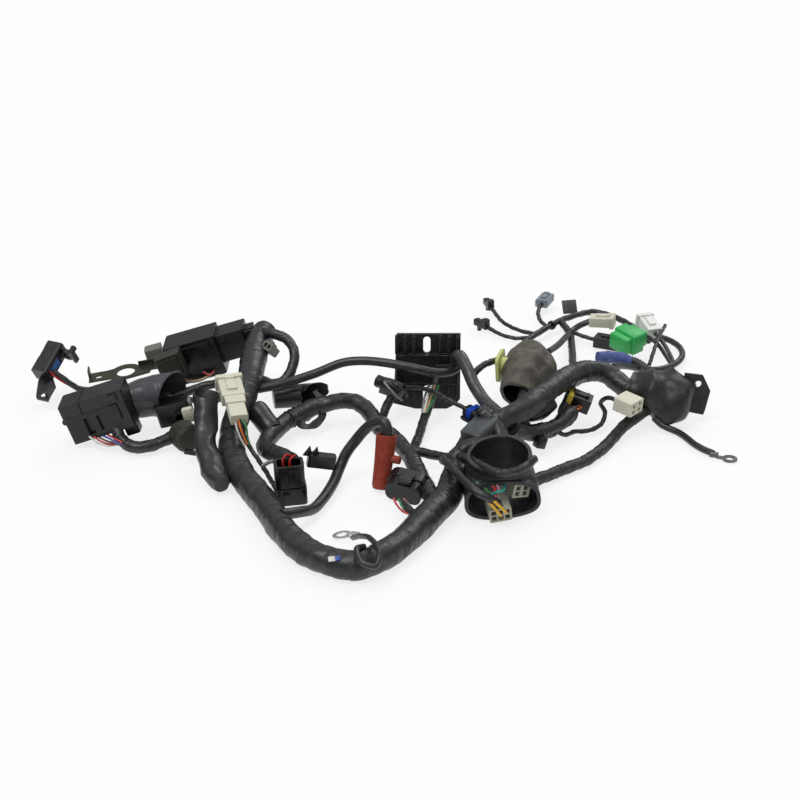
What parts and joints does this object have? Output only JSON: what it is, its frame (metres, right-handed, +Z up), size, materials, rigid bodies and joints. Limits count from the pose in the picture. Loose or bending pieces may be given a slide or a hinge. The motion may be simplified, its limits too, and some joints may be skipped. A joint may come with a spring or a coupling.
{
  "type": "wiring harness",
  "caption": "Motorcycle main wiring harness lying loose: taped U-shaped trunk with branches, sleeves, rubber boots, relays, fuse box, finned plate and plug connectors that link the electrics.",
  "frame": {"origin": "bottom centre of the harness's box, on the bench that it lies on", "axes": "+Z up; +X along the harness towards the large boot and the ground lead; the trunk's U opens towards +Y"},
  "size_m": [0.6185, 0.565, 0.0687],
  "materials": {
    "tape": "satin PVC tape with wrinkles",
    "vinyl": "smooth soft vinyl",
    "grey_vinyl": "smooth hose, light grey",
    "black_nylon": "moulded, satin",
    "charcoal_nylon": "moulded, satin",
    "olive_nylon": "moulded, aged",
    "grey_nylon": "moulded, aged",
    "cream_nylon": "translucent nylon",
    "clear_nylon": "translucent nylon",
    "green_nylon": "moulded, bright green",
    "blue_grey_nylon": "moulded",
    "blue_fuse": "translucent blue fuse",
    "blue_silicone": "ribbed silicone seal",
    "dark_rubber": "soft, dusty",
    "taupe_rubber": "soft, dusty and aged",
    "red_rubber": "soft, satin",
    "yellow_plastic": "aged pale yellow",
    "bracket_steel": "dull zinc plate",
    "cast_black": "black anodised",
    "tinned_brass": "tinned"
  },
  "bodies": {
    "root": {"clip_fuse_holder": "charcoal_nylon", "blue_fuse": "blue_fuse", "relay_bracket": "bracket_steel", "double_relay": "grey_nylon", "cube_relay": "olive_nylon", "starter_relay_holder": "black_nylon", "fuse_box_base": "black_nylon", "fuse_box_lid": "black_nylon", "socket_connector": "black_nylon", "round_connector": "olive_nylon", "cream_connector": "cream_nylon", "loop_connector": "grey_nylon", "finned_plate": "cast_black", "plate_connector": "grey_nylon", "sealed_connector": "black_nylon", "blue_seal": "blue_silicone", "square_connector_body": "black_nylon", "square_connector_cap": "black_nylon", "diode_block": "black_nylon", "red_boot": "red_rubber", "oval_connector": "black_nylon", "ring_terminal": "tinned_brass", "ground_ring": "tinned_brass", "cover_connector_upper": "grey_nylon", "cover_connector_lower": "grey_nylon", "socket_flange": "yellow_plastic", "upper_elbow": "black_nylon", "lower_elbow": "black_nylon", "slim_connector": "blue_grey_nylon", "cream_connector_right": "cream_nylon", "black_connector_right": "black_nylon", "green_connector": "green_nylon", "clear_connector": "clear_nylon", "large_boot": "dark_rubber", "four_pin_connector": "cream_nylon", "banded_connector": "black_nylon", "left_sleeve": "vinyl", "hanging_sleeve": "vinyl", "open_sleeve": "vinyl", "capped_end": "vinyl", "open_cover": "dark_rubber", "socket_boot": "taupe_rubber", "main_trunk": "tape", "upper_branch": "tape", "drop_branch": "tape", "boot_hose": "vinyl", "loop_branch": "tape", "smooth_conduit": "vinyl", "hose_arch": "grey_vinyl", "plate_leads": "tape", "plate_connector_lead": "tape", "sealed_lead": "tape", "ring_lead": "vinyl", "rear_bundle": "tape", "hose_loop": "vinyl", "side_leads": "tape", "floor_branch": "tape", "ground_lead": "vinyl", "fuse_box_tube": "tape", "clip_fuse_lead": "tape"}
  },
  "joints": []
}
